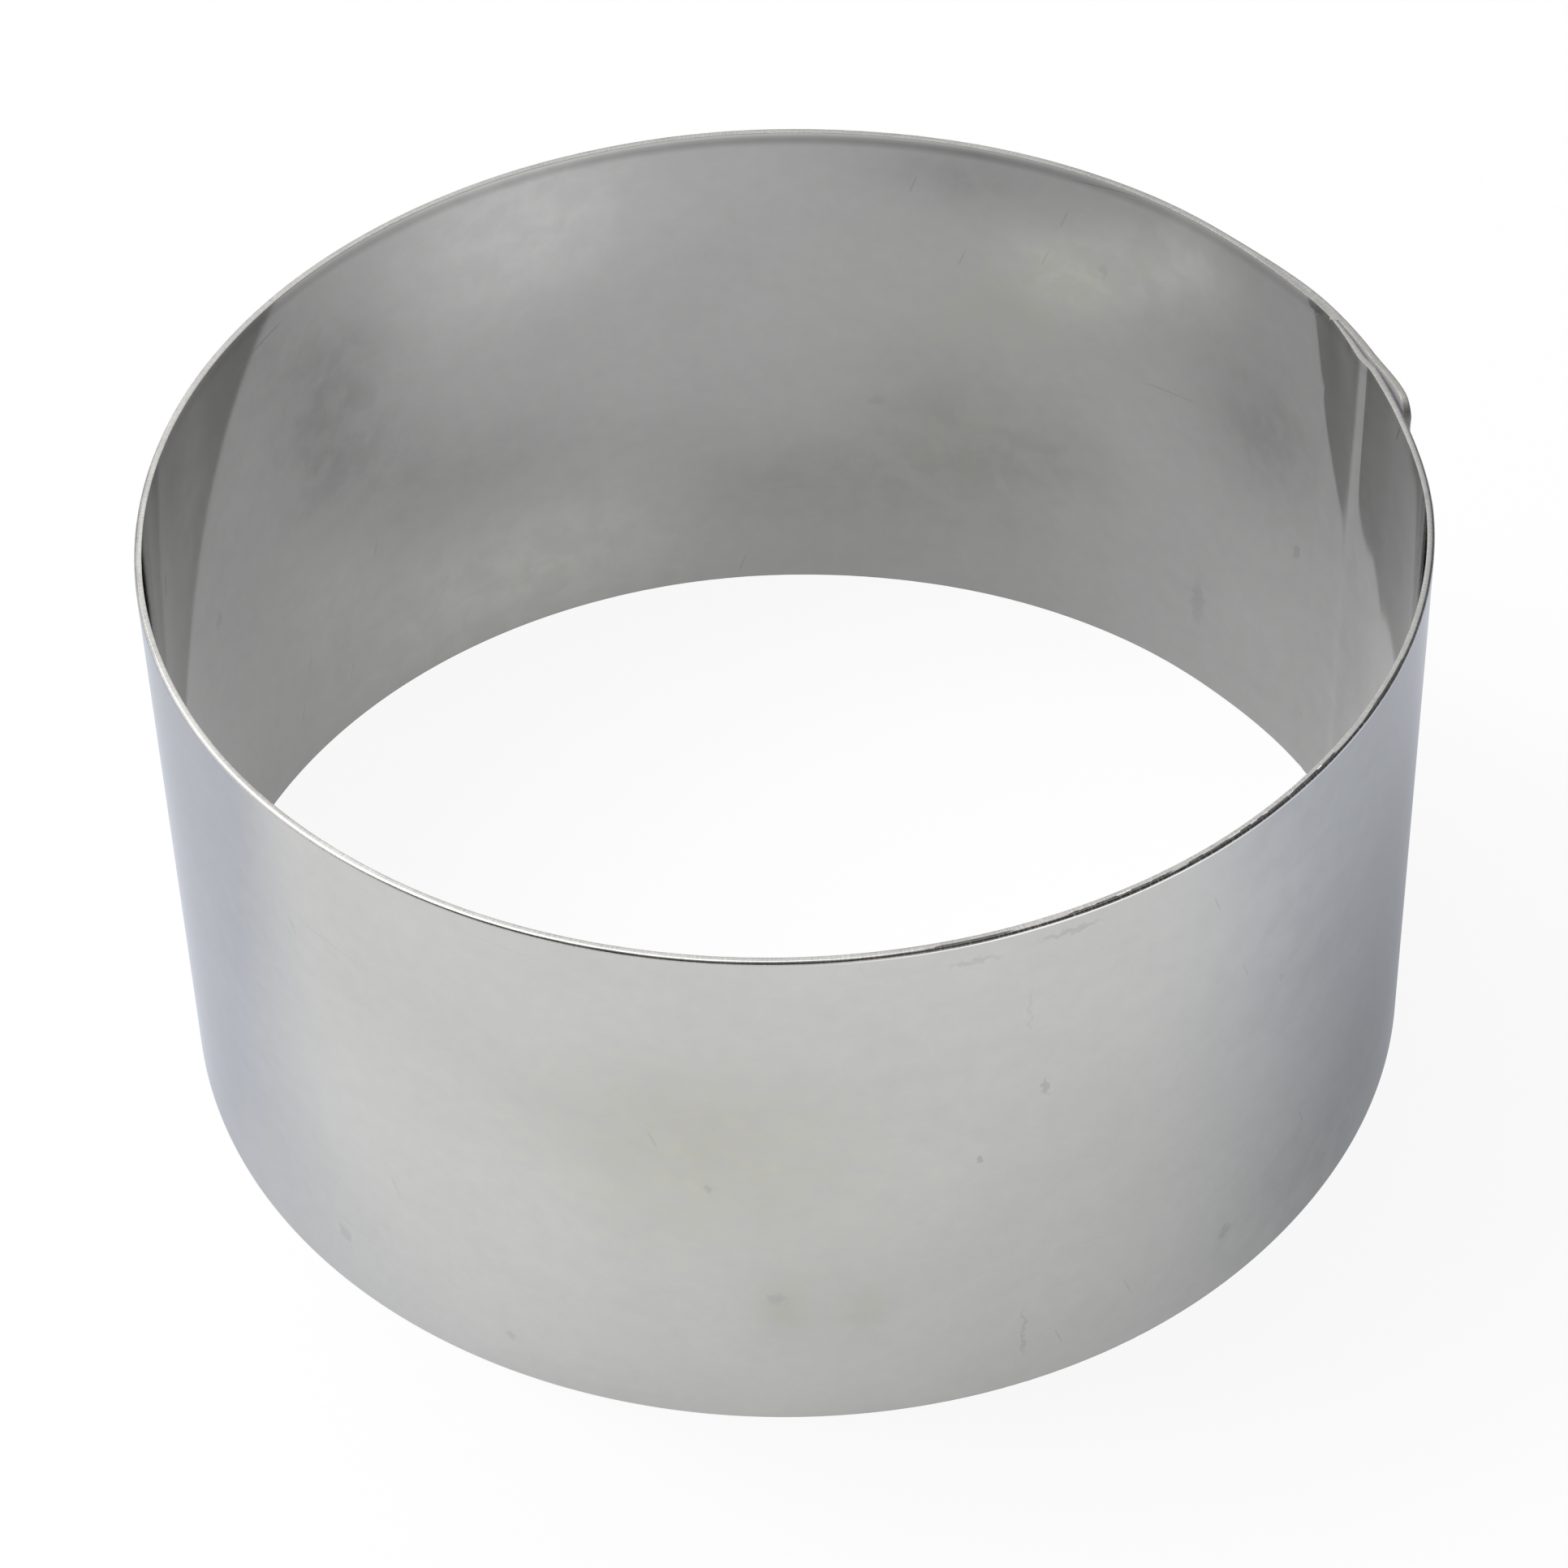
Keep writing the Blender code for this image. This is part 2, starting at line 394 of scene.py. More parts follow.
def outer_painted_light_and_stains(degrees, depth):
    """The same six values for each patch of the outer wall, whose tone is painted reflection and shade too.
    """
    patches = (
        (261, 20, 17, 11, -0.07, 0.8),
        (280, 34, 20, 12, -0.02, 0.2),
        (268, 37, 2.6, 3, -0.07, 0.7),
        (275, 38, 2.2, 3, -0.05, 0.5),
        (300, 30, 12, 14, -0.03, 0.0),
        (344, 20, 9, 30, -0.09, 0.0),
        (349, 34, 6, 22, -0.16, 0.0),
        (317, 5, 9, 16, 0.15, 0.0),
        (325, 48, 18, 12, -0.20, 0.0),
        (209, 22, 8, 60, 0.07, 0.0),
        (216, 20, 7, 26, 0.04, 0.0),
        (319, 21, 12, 15, 0.06, 0.0),
        (327, 21, 12, 14, 0.11, 0.0),
        (302, 40, 10, 7, 0.06, 0.0),
    )
    return blend_patches(patches, degrees, depth)


def blend_patches(patches, degrees, depth):
    """The change of painted tone and of warmth that all the patches together make at one place."""
    painted_tone = 0.0
    warmth = 0.0
    for angle, deep, wide, tall, more_painted_tone, more_warmth in patches:
        share = bump(degrees - angle, wide) * bump(depth - deep, tall)
        painted_tone += more_painted_tone * share
        warmth += more_warmth * share
    return painted_tone, warmth


def surface_values(s, offset, height, side):
    """What the materials read at a point of the surface, in the order of SURFACE_VALUES."""
    degrees = strip_degrees(s)
    torn = torn_share(s)
    rear = rear_share(s)
    # The tone of the patches is painted reflection and painted shade
    patches = outer_painted_light_and_stains if side > 0 else inner_painted_light_and_stains
    painted_tone, warmth = patches(degrees, (RING_HEIGHT - height) * 1000)
    # The place across the sheet, in mm outwards from its middle
    outwards = side * offset * 1000
    outer_half = min(max((outwards + 0.1) / 0.15, 0.0), 1.0)
    inner_half = min(max((-outwards - 0.08) / 0.17, 0.0), 1.0)
    # Along the fold: duller metal, and a painted highlight
    wear_and_sheen = fold_wear_and_sheen(s, height) if side < 0 else 0.0
    # Where the painted rim lines show: along the torn rim outside, round the back inside
    line = torn if side > 0 else bump(degrees - 90, 62)
    burnished = (1 - torn) * (1 - rear) * outer_half
    stained = max(rear * inner_half, 1 - ease((s - 0.006) / 0.010))
    broken = torn * ease((outwards - 0.11) / 0.12)
    return painted_tone, warmth, torn, wear_and_sheen, line, burnished, stained, broken


def in_the_lap(s, side):
    """Whether a face looks into the narrow gap between the two layers."""
    return s < LAP_LENGTH if side < 0 else s > STRIP_LENGTH - LAP_LENGTH


# A point of the wall: up is its height in the material, in millimetres
Point = namedtuple("Point", "vertex kind side up")


def section_row(form, layers, s):
    """The ring of points at one station, up the outside and down the inside."""
    outer = [(point, 1) for point in half_section(s, 1)]
    inner = [(point, -1) for point in half_section(s, -1)]
    row = []
    for (offset, height, kind), side in outer + inner[-2:0:-1]:
        vertex = form.verts.new(place(s, offset, height, kind, side))
        for layer, value in zip(layers, surface_values(s, offset, height, side)):
            vertex[layer] = value
        across = 0.0 if kind == "wall" else side * offset * 1000
        row.append(Point(vertex, kind, side, height * 1000 + across))
    return row


def join_rows(form, uv_layer, s0, row0, s1, row1):
    """Fills the strip between two stations with faces, each in the slot of its material."""
    for i, near in enumerate(row0):
        j = (i + 1) % len(row0)
        corners = ((s0, near), (s1, row1[i]), (s1, row1[j]), (s0, row0[j]))
        face = form.faces.new([point.vertex for _, point in corners])
        face.smooth = True
        side = min(near.side, row0[j].side)
        if "wall" not in (near.kind, row0[j].kind):
            face.material_index = EDGE_SLOT
        elif in_the_lap((s0 + s1) / 2, side):
            face.material_index = LAP_SLOT
        else:
            face.material_index = OUTER_SLOT if side > 0 else INNER_SLOT
        # The filled step beside the inner end starts with a sharp edge
        if side < 0 and s1 == END_ROW:
            form.edges.get((row1[i].vertex, row1[j].vertex)).smooth = False
        for loop, (s, point) in zip(face.loops, corners):
            loop[uv_layer].uv = (s * 1000, point.up)


def close_end(form, uv_layer, s, row, turned):
    """Closes one end of the strip with a ladder of faces between its two sides."""
    count = len(row)
    for i in range(count // 2):
        ring = [row[i].vertex, row[i + 1].vertex]
        for k in ((count - i - 1) % count, (count - i) % count):
            if row[k].vertex not in ring:
                ring.append(row[k].vertex)
        if turned:
            ring.reverse()
        face = form.faces.new(ring)
        face.material_index = EDGE_SLOT
        for loop in face.loops:
            loop[uv_layer].uv = (s * 1000, loop.vert.co.z * 1000)
            if turned and len(loop.edge.link_faces) == 2:
                loop.edge.smooth = False


def add_object(name, form):
    """Turns the finished form into an object of the scene."""
    mesh = bpy.data.meshes.new(name)
    form.to_mesh(mesh)
    form.free()
    made = bpy.data.objects.new(name, mesh)
    bpy.context.scene.collection.objects.link(made)
    return made


def make_band():
    """The wall: one strip with round edges and corners, rolled until its ends lap."""
    form = bmesh.new()
    uv_layer = form.loops.layers.uv.new("strip")
    layers = [form.verts.layers.float.new(name) for name in SURFACE_VALUES]
    rows = [(s, section_row(form, layers, s)) for s in stations()]
    for (s0, row0), (s1, row1) in zip(rows, rows[1:]):
        join_rows(form, uv_layer, s0, row0, s1, row1)
    close_end(form, uv_layer, *rows[0], turned=False)
    close_end(form, uv_layer, *rows[-1], turned=True)
    bmesh.ops.recalc_face_normals(form, faces=form.faces[:])
    return add_object("steel_band", form)


def make_weld_mark(number):
    """The fused metal of one weld: a turned plug, dished on the outside, hidden on the inside."""
    radius = WELD_DIAMETER / 2
    outer_face = SHEET_THICKNESS + LAYER_CLEARANCE / 2
    hidden_face = -SHEET_THICKNESS * 0.8
    profile = []
    for step in range(DISH_STEPS + 1):
        share = step / DISH_STEPS
        lip = LIP_HEIGHT * bump(share - 0.86, 0.08)
        dish = WELD_DISH * bump(share * radius, DISH_WIDTH)
        profile.append((radius * share, outer_face - dish + WELD_PROUD + lip))
    profile.append((radius * 1.01, outer_face - 0.0001))
    profile.append((radius * 0.9, hidden_face))
    profile.append((0.0, hidden_face))

    form = bmesh.new()
    points = [form.verts.new((x, 0, z)) for x, z in profile]
    geometry = points + [form.edges.new(pair) for pair in zip(points, points[1:])]
    bmesh.ops.spin(
        form, geom=geometry, cent=(0, 0, 0), axis=(0, 0, 1),
        angle=2 * math.pi, steps=TURN_STEPS, use_merge=True,
    )
    bmesh.ops.remove_doubles(form, verts=form.verts[:], dist=0.000001)
    bmesh.ops.recalc_face_normals(form, faces=form.faces[:])
    for face in form.faces:
        face.smooth = True
    angle = strip_angle(WELD_FROM_OUTER_END)
    centre = middle_radius(WELD_FROM_OUTER_END) - LAYER_OFFSET
    height = WELD_PITCH * (number + 0.5)
    turn = Matrix.Rotation(angle, 4, "Z") @ Matrix.Rotation(math.pi / 2, 4, "Y")
    where = Matrix.Translation((centre * math.cos(angle), centre * math.sin(angle), height))
    bmesh.ops.transform(form, matrix=where @ turn, verts=form.verts[:])
    return add_object(f"weld_mark_{number + 1}", form)


# Materials

class Graph:
    """Short names for making and joining the nodes of a material or of the world."""

    def __init__(self, owner):
        owner.use_nodes = True
        self.owner = owner
        self.tree = owner.node_tree
        self.shader = self.tree.nodes.get("Principled BSDF")
        self.output = next(node for node in self.tree.nodes if node.type.startswith("OUTPUT"))

    def node(self, kind, **settings):
        made = self.tree.nodes.new(kind)
        for name, value in settings.items():
            setattr(made, name, value)
        return made

    def feed(self, socket, value):
        if isinstance(value, bpy.types.NodeSocket):
            self.tree.links.new(value, socket)
        else:
            socket.default_value = value

    def math(self, operation, first, second=0.0):
        made = self.node("ShaderNodeMath", operation=operation)
        self.feed(made.inputs[0], first)
        self.feed(made.inputs[1], second)
        return made.outputs[0]

    def swing(self, value, reach):
        """A noise's value, brought to lie round 0 and within half of the reach."""
        return self.math("MULTIPLY", self.math("SUBTRACT", value, 0.5), reach)

    def from_middle(self, value):
        """How far a value lies from the middle between two whole numbers."""
        return self.math("ABSOLUTE", self.math("SUBTRACT", self.math("FRACT", value), 0.5))

    def add(self, *values):
        """The sum of all the values."""
        total = values[0]
        for value in values[1:]:
            total = self.math("ADD", total, value)
        return total

    def between(self, value, low, high, new_low=0.0, new_high=1.0):
        """Goes smoothly from new_low to new_high while the value goes from low to high."""
        made = self.node("ShaderNodeMapRange", interpolation_type="SMOOTHSTEP")
        names = ("Value", "From Min", "From Max", "To Min", "To Max")
        for name, given in zip(names, (value, low, high, new_low, new_high)):
            self.feed(made.inputs[name], given)
        return made.outputs["Result"]

    def mix(self, share, first, second):
        """Blends two colours; the node's sockets share names between data types, so they go by number."""
        made = self.node("ShaderNodeMix", data_type="RGBA")
        self.feed(made.inputs[0], share)
        self.feed(made.inputs[6], first)
        self.feed(made.inputs[7], second)
        return made.outputs[2]

    def attribute(self, name):
        return self.node("ShaderNodeAttribute", attribute_name=name).outputs["Fac"]

    def apart(self, vector):
        made = self.node("ShaderNodeSeparateXYZ")
        self.feed(made.inputs[0], vector)
        return made.outputs["X"], made.outputs["Y"], made.outputs["Z"]

    def stretch(self, vector, scale, turn=0.0):
        made = self.node("ShaderNodeMapping")
        self.feed(made.inputs["Vector"], vector)
        made.inputs["Rotation"].default_value = (0.0, 0.0, math.radians(turn))
        made.inputs["Scale"].default_value = scale
        return made.outputs["Vector"]

    def noise(self, vector, scale, detail=3.0, roughness=0.5, distortion=0.0):
        made = self.node("ShaderNodeTexNoise")
        self.feed(made.inputs["Vector"], vector)
        made.inputs["Scale"].default_value = scale
        made.inputs["Detail"].default_value = detail
        made.inputs["Roughness"].default_value = roughness
        made.inputs["Distortion"].default_value = distortion
        return made.outputs["Fac"]

    def bump(self, height, distance, strength=1.0, below=None):
        made = self.node("ShaderNodeBump")
        made.inputs["Strength"].default_value = strength
        made.inputs["Distance"].default_value = distance
        self.feed(made.inputs["Height"], height)
        if below is not None:
            self.feed(made.inputs["Normal"], below)
        return made.outputs["Normal"]


def opaque(red, green, blue):
    return (red, green, blue, 1.0)


def strip_coordinates(graph):
    """The place on the flat strip in millimetres: x along it, y up it."""
    flat = graph.node("ShaderNodeUVMap", uv_map="strip").outputs["UV"]
    along, up, _ = graph.apart(flat)
    return flat, along, up


def mark_mask(graph, along, up, degrees, depth, wide, tall):
    """1 at a mark and 0 away from it; the mark lies at an angle and a depth in mm, and its size is in mm."""
    place_s = (math.radians(degrees) - OUTER_END_ANGLE) % (2 * math.pi) * MIDDLE_RADIUS * 1000
    x = graph.math("DIVIDE", graph.math("SUBTRACT", along, place_s), wide)
    y = graph.math("DIVIDE", graph.math("SUBTRACT", up, RING_HEIGHT * 1000 - depth), tall)
    square = graph.add(graph.math("MULTIPLY", x, x), graph.math("MULTIPLY", y, y))
    return graph.between(square, 1.0, 0.15)


def spots_and_smears(graph, flat, along, up, marks):
    """The marks, listed one by one, with uneven edges."""
    wander = graph.swing(graph.noise(flat, 1.3, detail=3.0), 1.6)
    along = graph.add(along, wander)
    up = graph.math("SUBTRACT", up, wander)
    spots = None
    for degrees, depth, wide, tall, strength in marks:
        mask = graph.math("MULTIPLY", mark_mask(graph, along, up, degrees, depth, wide, tall), strength)
        spots = mask if spots is None else graph.math("MAXIMUM", spots, mask)
    return spots


def scratches(graph, vector, angle, length, spacing, width, share):
    """Fine straight scratches: long cells at an angle, of which a share has a line; sizes are in mm."""
    turned = graph.stretch(vector, (1 / length, 1 / spacing, 1.0), angle)
    x, y, _ = graph.apart(turned)
    cell = graph.node("ShaderNodeVectorMath", operation="FLOOR")
    graph.feed(cell.inputs[0], turned)
    draw = graph.node("ShaderNodeTexWhiteNoise", noise_dimensions="2D")
    graph.feed(draw.inputs["Vector"], cell.outputs[0])
    kept = graph.math("GREATER_THAN", draw.outputs["Value"], 1 - share)
    line = graph.between(graph.from_middle(y), width / spacing, 0.0)
    ends = graph.between(graph.from_middle(x), 0.5, 0.2)
    return graph.math("MULTIPLY", kept, graph.math("MULTIPLY", line, ends))


def painted_rim_line(graph, up, low, high, soft, strength):
    """A thin line along the wall below the upper rim, a painted highlight where the strength is above 0 and a
    painted shade where it is below; its two edges are depths in mm.
    """
    depth = graph.math("SUBTRACT", RING_HEIGHT * 1000, up)
    starts = graph.between(depth, low - soft, low + soft)
    ends = graph.between(depth, high - soft, high + soft, strength, 0.0)
    return graph.math("MULTIPLY", starts, ends)


def steel_wall(name, marks, lines, tint, grazing):
    """Cold-rolled satin stainless: cloudy sheen, faint rolling lines, stains, specks and a few scratches,
    with painted reflection and shade in broad patches, painted lines under the rim and a painted highlight
    along the fold.
    """
    graph = Graph(bpy.data.materials.new(name))
    flat, along, up = strip_coordinates(graph)
    clouds = graph.noise(graph.stretch(flat, (0.05, 0.07, 1.0)), 1.0, detail=4.0, roughness=0.6)
    mottle = graph.noise(flat, 0.55, detail=4.0, roughness=0.65)
    smudged = graph.noise(flat, 0.30, detail=3.0, roughness=0.55, distortion=0.3)
    wear_and_sheen_mask = graph.attribute("fold_wear_and_sheen")
    steep = scratches(graph, flat, angle=83, length=7.0, spacing=2.3, width=0.045, share=0.025)
    level_ones = scratches(graph, flat, angle=17, length=9.0, spacing=3.1, width=0.040, share=0.020)
    scratch = graph.math("MAXIMUM", steep, level_ones)
    spots = spots_and_smears(graph, flat, along, up, marks)

    # Painted highlight and painted shade: thin lines under the rim for the light and dark that the rounded
    # rim mirrors
    line = graph.add(*(painted_rim_line(graph, up, *edges_and_strength) for edges_and_strength in lines))
    line = graph.math("MULTIPLY", line, graph.attribute("painted_rim_line"))
    # Painted reflection and shade: the patches' tone, made uneven by the smudges
    painted_tone = graph.math("MULTIPLY", graph.attribute("painted_tone"), graph.between(smudged, 0.36, 0.64, 0.85, 1.15))
    level = graph.add(1.0, line, painted_tone, graph.swing(clouds, 0.16), graph.swing(mottle, 0.11))
    level = graph.math("SUBTRACT", level, spots)
    level = graph.math("SUBTRACT", level, graph.math("MULTIPLY", scratch, 0.10))
    # Painted highlight: the wall is lighter along the fold
    level = graph.add(level, graph.math("MULTIPLY", wear_and_sheen_mask, 0.12))
    stain = graph.math("MULTIPLY", graph.attribute("warmth"), graph.between(mottle, 0.30, 0.62, 0.25, 1.0))
    brownish = opaque(tint[0] * 0.985, tint[1] * 0.975, tint[2] * 0.88)
    scale = graph.node("ShaderNodeVectorMath", operation="SCALE")
    graph.feed(scale.inputs[0], graph.mix(stain, opaque(*tint), brownish))
    graph.feed(scale.inputs["Scale"], level)
    graph.feed(graph.shader.inputs["Base Color"], scale.outputs[0])

    rough = graph.add(0.06, graph.swing(clouds, 0.05), graph.swing(mottle, 0.03))
    for mark, rougher in ((spots, 0.3), (scratch, 0.15), (wear_and_sheen_mask, 0.20)):
        rough = graph.add(rough, graph.math("MULTIPLY", mark, rougher))
    graph.feed(graph.shader.inputs["Roughness"], rough)

    grain = graph.noise(graph.stretch(flat, (1.6, 4.0, 1.0)), 2.2, detail=3.0, roughness=0.7)
    rolling = graph.noise(graph.stretch(flat, (0.02, 3.2, 1.0)), 1.0, detail=3.0, roughness=0.6)
    waves = graph.noise(graph.stretch(flat, (0.03, 0.045, 1.0)), 1.0, detail=1.0)
    fine = graph.bump(graph.add(grain, graph.math("MULTIPLY", rolling, 0.8)), 0.0000015, 0.35)
    broad = graph.bump(waves, 0.00012, 0.5, fine)
    nicks = graph.bump(graph.math("MAXIMUM", scratch, spots), 0.000012, 0.6, broad)
    graph.feed(graph.shader.inputs["Normal"], nicks)
    graph.shader.inputs["Metallic"].default_value = 1.0
    graph.shader.inputs["Specular Tint"].default_value = opaque(grazing, grazing, grazing)
    return graph.owner


def outer_steel():
    """Each mark has an angle, a depth, a half width and a half height in mm, and a strength."""
    marks = (
        (290.9, 17, 0.45, 0.95, 0.16),
        (285.1, 23, 0.30, 0.55, 0.18),
        (224.5, 44, 0.80, 0.90, 0.09),
        (310.6, 43.5, 0.90, 1.00, 0.11),
        (316.5, 19, 0.40, 0.40, 0.12),
        (243.0, 45.5, 0.45, 0.50, 0.09),
        (289.3, 44.0, 0.20, 3.4, 0.11),
        (289.5, 8.5, 0.16, 2.8, 0.07),
        (267.5, 36.0, 0.80, 0.90, 0.07),
        (262.0, 24.0, 0.40, 0.45, 0.10),
        (284.5, 2.0, 2.4, 0.40, 0.10),
        (293.0, 1.6, 3.0, 0.35, 0.12),
    )
    # A painted highlight just under the torn rim
    lines = ((0.20, 0.38, 0.05, 0.9),)
    return steel_wall("outer_steel", marks, lines, (0.565, 0.565, 0.562), 0.90)


def inner_steel():
    """The marks are as outside; a painted highlight and a painted shade run side by side under the rim."""
    marks = (
        (43.0, 41.0, 0.9, 3.0, 0.10),
        (161.5, 24.0, 0.7, 0.9, 0.10),
        (80.0, 29.0, 0.8, 0.8, 0.05),
        (56.0, 9.5, 0.5, 1.0, 0.10),
        (29.0, 27.0, 0.5, 0.9, 0.14),
        # Painted shade: the dark spot at the notch beside the inner end, where the step shades the rim; it is
        # rougher there too
        (28.6, 0.4, 1.3, 0.7, 0.35),
    )
    # A painted highlight right under the rim, then a painted shade below it
    lines = ((-0.50, 0.25, 0.20, 0.30), (0.40, 1.10, 0.42, -0.32))
    # Painted shade: the inside is a darker copy of the same steel, 0.475 against 0.565 outside
    return steel_wall("inner_steel", marks, lines, (0.475, 0.476, 0.474), 1.0)


def edge_steel():
    """The sheared rims: fine marks across the thickness, bright high spots and a little brown."""
    graph = Graph(bpy.data.materials.new("edge_steel"))
    flat, _, _ = strip_coordinates(graph)
    torn = graph.attribute("torn")
    stained = graph.attribute("stained")
    burnished = graph.attribute("burnished")
    across = graph.noise(graph.stretch(flat, (5.0, 0.9, 1.0)), 1.0, detail=4.0, roughness=0.7)
    patchy = graph.noise(graph.stretch(flat, (0.35, 0.8, 1.0)), 1.0, detail=3.0, roughness=0.6)

    low_metal = opaque(0.47, 0.46, 0.44)
    high_metal = opaque(0.60, 0.59, 0.57)
    colour = graph.mix(graph.between(across, 0.32, 0.68), low_metal, high_metal)
    most_brown = 0.45
    brown = graph.between(patchy, 0.60, 0.74, 0.0, most_brown)
    brown = graph.math("MAXIMUM", brown, graph.math("MULTIPLY", stained, most_brown))
    colour = graph.mix(brown, colour, opaque(0.30, 0.275, 0.245))
    broken = graph.math("MULTIPLY", graph.attribute("broken"), graph.between(across, 0.62, 0.50, 0.25, 0.95))
    colour = graph.mix(broken, colour, opaque(0.15, 0.145, 0.14))
    graph.feed(graph.shader.inputs["Base Color"], colour)

    rough = graph.add(graph.between(burnished, 0.0, 1.0, 0.42, 0.22), graph.math("MULTIPLY", stained, 0.15))
    rough = graph.add(rough, graph.between(patchy, 0.3, 0.7, 0.0, 0.10))
    graph.feed(graph.shader.inputs["Roughness"], rough)
    tall = graph.between(torn, 0.0, 1.0, graph.between(burnished, 0.0, 1.0, 0.25, 0.08), 1.0)
    graph.feed(graph.shader.inputs["Normal"], graph.bump(graph.math("MULTIPLY", across, tall), 0.00003, 0.7))
    graph.shader.inputs["Metallic"].default_value = 1.0
    return graph.owner


def lap_gap_lightened():
    """The faces inside the lap: a pale, dull grey in place of the steel, painted light that keeps the shaded
    gap between the layers from going dark.
    """
    graph = Graph(bpy.data.materials.new("lap_gap_lightened"))
    graph.shader.inputs["Base Color"].default_value = opaque(0.60, 0.60, 0.61)
    graph.shader.inputs["Metallic"].default_value = 0.1
    graph.shader.inputs["Roughness"].default_value = 0.55
    return graph.owner


def weld_steel():
    """Fused metal: duller than the sheet, with brown patches from the heat."""
    graph = Graph(bpy.data.materials.new("weld_steel"))
    place_in = graph.node("ShaderNodeTexCoord").outputs["Object"]
    pits = graph.noise(place_in, 2600.0, detail=4.0, roughness=0.7)
    heat = graph.between(graph.noise(place_in, 500.0, detail=2.0), 0.35, 0.7)
    colour = graph.mix(heat, opaque(0.46, 0.44, 0.41), opaque(0.36, 0.33, 0.31))
    graph.feed(graph.shader.inputs["Base Color"], colour)
    graph.feed(graph.shader.inputs["Roughness"], graph.between(pits, 0.3, 0.7, 0.36, 0.58))
    graph.feed(graph.shader.inputs["Normal"], graph.bump(pits, 0.00003, 0.7))
    graph.shader.inputs["Metallic"].default_value = 1.0
    return graph.owner


# Stage, light and camera

def make_floor():
    """A plain white floor. The camera sees it nearly white; the metal mirrors a painted version of it, with
    cool painted shade behind and at both sides, painted shade inside the ring and a painted glow.
    """
    bpy.ops.mesh.primitive_plane_add(size=6.0, location=(0, 0, -0.00002))
    floor = bpy.context.object
    floor.name = "floor"
    graph = Graph(bpy.data.materials.new("white_floor"))
    where = graph.node("ShaderNodeTexCoord").outputs["Object"]
    right, back, _ = graph.apart(where)
    grain = graph.between(graph.noise(where, 18.0, detail=3.0), 0.3, 0.7)
    plain = graph.mix(grain, opaque(0.84, 0.84, 0.835), opaque(0.86, 0.86, 0.855))

    to_right = graph.between(right, -0.03, 0.03)
    slanted = graph.add(back, graph.math("MULTIPLY", right, 0.327))
    starts = graph.between(to_right, 0.0, 1.0, -0.057, -0.042)
    full = graph.between(to_right, 0.0, 1.0, -0.030, 0.014)
    behind = graph.between(slanted, starts, full)
    # Painted shade: a cool, darker floor behind and at both sides, seen only in the metal
    painted_shade = graph.mix(to_right, opaque(0.57, 0.59, 0.64), opaque(0.60, 0.62, 0.67))

    inside_rim = OUTER_RADIUS - 0.0004
    reach = graph.node("ShaderNodeVectorMath", operation="LENGTH")
    graph.feed(reach.inputs[0], where)
    outside = graph.between(reach.outputs["Value"], inside_rim, OUTER_RADIUS)
    # Painted shade: a darker floor inside the ring, seen only in the metal
    painted_floor = graph.mix(outside, opaque(0.635, 0.635, 0.632), graph.mix(behind, plain, painted_shade))

    rays = graph.node("ShaderNodeLightPath")
    mirrored = rays.outputs["Is Glossy Ray"]
    graph.feed(graph.shader.inputs["Base Color"], graph.mix(mirrored, plain, painted_floor))
    graph.shader.inputs["Roughness"].default_value = 0.9
    graph.shader.inputs["Specular IOR Level"].default_value = 0.0
    # White for the camera; for the metal, a painted glow of the painted floor
    backdrop_and_painted_glow = graph.node("ShaderNodeEmission")
    graph.feed(backdrop_and_painted_glow.inputs["Color"], graph.mix(mirrored, opaque(1.0, 1.0, 1.0), painted_floor))
    graph.feed(backdrop_and_painted_glow.inputs["Strength"], graph.between(mirrored, 0.0, 1.0, 1.0, 1.17))

    # How much of the floor that the metal mirrors is painted glow, inside and outside the ring
    painted_glow_outside = graph.between(behind, 0.0, 1.0, 0.60, 0.42)
    painted_glow_share = graph.between(reach.outputs["Value"], inside_rim, OUTER_RADIUS, 0.62, painted_glow_outside)
    share = graph.math("MULTIPLY", rays.outputs["Is Camera Ray"], 0.92)
    share = graph.add(share, graph.math("MULTIPLY", mirrored, painted_glow_share))
    blend = graph.node("ShaderNodeMixShader")
    graph.feed(blend.inputs[0], share)
    graph.feed(blend.inputs[1], graph.shader.outputs[0])
    graph.feed(blend.inputs[2], backdrop_and_painted_glow.outputs[0])
    graph.feed(graph.output.inputs["Surface"], blend.outputs[0])
    floor.data.materials.append(graph.owner)
    return floor


def make_world():
    """A pale room: brighter overhead, behind and low on the left, dim in front and on the right."""
    world = bpy.data.worlds.new("pale_room")
    bpy.context.scene.world = world
    graph = Graph(world)
    right, back, up = graph.apart(graph.node("ShaderNodeTexCoord").outputs["Generated"])

    level = graph.add(graph.between(up, 0.2, 1.0, 0.06, 0.62), graph.between(back, -0.3, 0.7, 0.0, 0.29))
    level = graph.math("MULTIPLY", level, graph.between(back, -0.75, 0.1, 0.25, 1.0))
    level = graph.math("MULTIPLY", level, graph.between(right, 0.1, 0.7, 1.0, 0.25))
    window = graph.between(right, -0.90, -0.60, 1.2, 0.0)
    window = graph.math("MULTIPLY", window, graph.between(back, -0.55, -0.05))

    room = graph.tree.nodes["Background"]
    graph.feed(room.inputs["Color"], opaque(0.96, 0.975, 1.0))
    graph.feed(room.inputs["Strength"], graph.add(level, window))
    white = graph.node("ShaderNodeBackground")
    graph.feed(white.inputs["Color"], opaque(1.0, 1.0, 1.0))
    graph.feed(white.inputs["Strength"], 1.0)
    blend = graph.node("ShaderNodeMixShader")
    graph.feed(blend.inputs[0], graph.node("ShaderNodeLightPath").outputs["Is Camera Ray"])
    graph.feed(blend.inputs[1], room.outputs[0])
    graph.feed(blend.inputs[2], white.outputs[0])
    graph.feed(graph.output.inputs["Surface"], blend.outputs[0])


